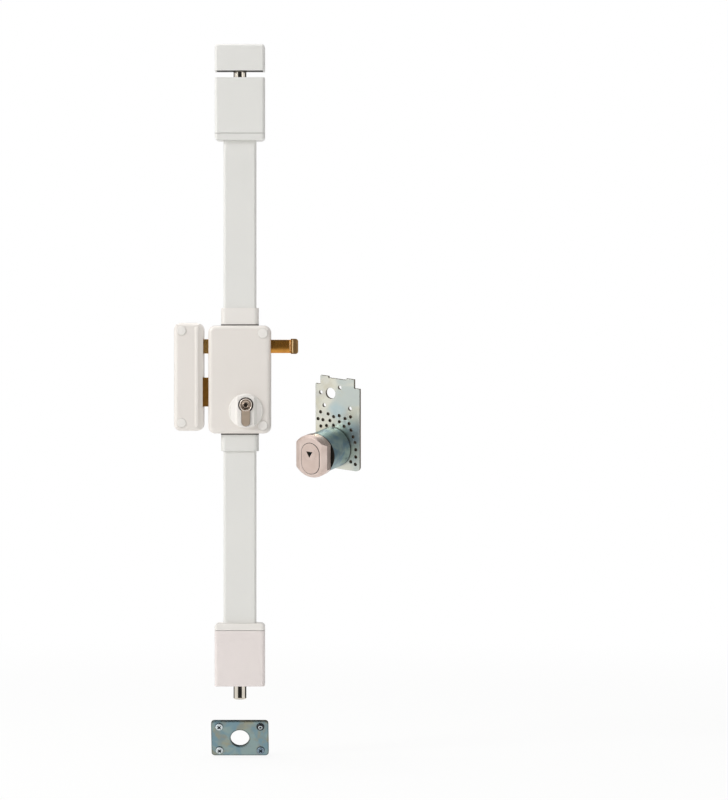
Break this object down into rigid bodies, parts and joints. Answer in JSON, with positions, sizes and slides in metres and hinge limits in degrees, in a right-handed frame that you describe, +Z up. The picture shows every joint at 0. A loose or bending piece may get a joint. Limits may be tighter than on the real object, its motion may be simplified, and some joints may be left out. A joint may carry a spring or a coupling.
{
  "type": "multipoint door lock",
  "caption": "Surface-mounted multipoint door lock: case with latch and dead bolt, vertical rods with round bolts in covers, box keeps, floor plate and cylinder guard.",
  "frame": {"origin": "middle of the lock case on its back face, where it lies on the door", "axes": "+X right, +Y into the door, +Z up along the rods; the case's face is towards -Y"},
  "size_m": [0.2153, 0.1351, 0.8221],
  "materials": {
    "white_enamel": "white enamelled steel, semi-gloss",
    "white_plastic": "white moulded plastic, semi-gloss",
    "brass": "polished brass",
    "nickel": "polished nickel plate",
    "satin_nickel": "satin nickel plate",
    "rose_nickel": "warm nickel plate",
    "zinc_steel": "zinc-plated steel with a faint blue and yellow tint",
    "bright_steel": "drawn steel",
    "dark_steel": "oiled spring steel",
    "die_cast_zinc": "die-cast zinc, matte",
    "nylon": "natural nylon",
    "screw_steel": "bright zinc plate"
  },
  "bodies": {
    "lock": {"backplate": "zinc_steel", "slide_guide": "bright_steel", "case_cover": "white_enamel", "case_screws": "screw_steel", "case_caps": "white_plastic", "escutcheon": "white_enamel", "cylinder_body": "satin_nickel", "cylinder_rear_plug": "nickel", "cylinder_screw": "screw_steel", "drive_axle": "bright_steel", "axle_clip": "dark_steel", "latch_spring": "dark_steel", "rod_guides": "nylon", "rod_clips": "nylon", "upper_sleeve": "white_plastic", "lower_sleeve": "white_plastic", "upper_rod_cover": "white_enamel", "lower_rod_cover": "white_enamel", "upper_housing": "white_enamel", "lower_housing": "white_enamel", "upper_housing_cap": "white_plastic", "lower_housing_cap": "white_plastic", "upper_bolt_guide": "die_cast_zinc", "lower_bolt_guide": "die_cast_zinc", "bolt_guide_screws": "screw_steel", "keep_cover": "white_enamel", "keep_plate": "zinc_steel", "keep_screws": "screw_steel", "keep_caps": "white_plastic", "top_keep_cover": "white_enamel", "top_keep_plate": "zinc_steel", "floor_plate": "zinc_steel", "floor_screws": "screw_steel", "guard_plate": "zinc_steel", "guard_barrel": "zinc_steel", "guard_head": "rose_nickel", "guard_inset": "rose_nickel"},
    "dead_bolt": {"dead_bolt": "brass", "dead_bolt_rack": "bright_steel", "dead_bolt_rivets": "bright_steel"},
    "upper_rod": {"upper_rod": "bright_steel", "upper_round_bolt": "nickel", "upper_bolt_pin": "bright_steel"},
    "lower_rod": {"lower_rod": "bright_steel", "lower_round_bolt": "nickel", "lower_bolt_pin": "bright_steel"},
    "drive_wheel": {"drive_wheel": "brass", "drive_pinions": "bright_steel"},
    "key_plug": {"cylinder_plug": "nickel", "cylinder_gear": "brass"},
    "latch": {"latch_bolt": "brass", "latch_rod": "bright_steel", "latch_pull": "brass"},
    "guard_disc": {"guard_disc": "rose_nickel"}
  },
  "joints": [
    {"name": "upper_rod_throw", "type": "slide", "parent": "lock", "child": "upper_rod", "axis": [0, 0, -1], "range_m": [0, 0.01587]},
    {"name": "lower_rod_throw", "type": "slide", "parent": "lock", "child": "lower_rod", "axis": [0, 0, 1], "range_m": [0, 0.01587]},
    {"name": "dead_bolt_throw", "type": "slide", "parent": "lock", "child": "dead_bolt", "axis": [1, 0, 0], "range_m": [0, 0.02183]},
    {"name": "drive_wheel_turn", "type": "hinge", "parent": "lock", "child": "drive_wheel", "pos_m": [0, -0.0065, 0.00111], "axis": [0, 1, 0], "range_deg": [0, 113.68]},
    {"name": "key_turn", "type": "hinge", "parent": "lock", "child": "key_plug", "pos_m": [0.0076, -0.042, -0.0292], "axis": [0, -1, 0], "range_deg": [0, 360]},
    {"name": "latch_pull_slide", "type": "slide", "parent": "lock", "child": "latch", "axis": [1, 0, 0], "range_m": [0, 0.013], "stiffness_N_per_m": 350, "springref_m": -0.01, "deforming": ["latch_spring"]},
    {"name": "guard_disc_spin", "type": "hinge", "parent": "lock", "child": "guard_disc", "pos_m": [0.08227, -0.06389, -0.08444], "axis": [-0.5, -0.8403, -0.2095], "continuous": true}
  ],
  "couplings": [
    {"joint": "lower_rod_throw", "follows": "upper_rod_throw", "ratio": 1},
    {"joint": "dead_bolt_throw", "follows": "upper_rod_throw", "ratio": 1.375},
    {"joint": "drive_wheel_turn", "follows": "upper_rod_throw", "rad_per_m": 125},
    {"joint": "key_turn", "follows": "upper_rod_throw", "rad_per_m": 395.83}
  ]
}
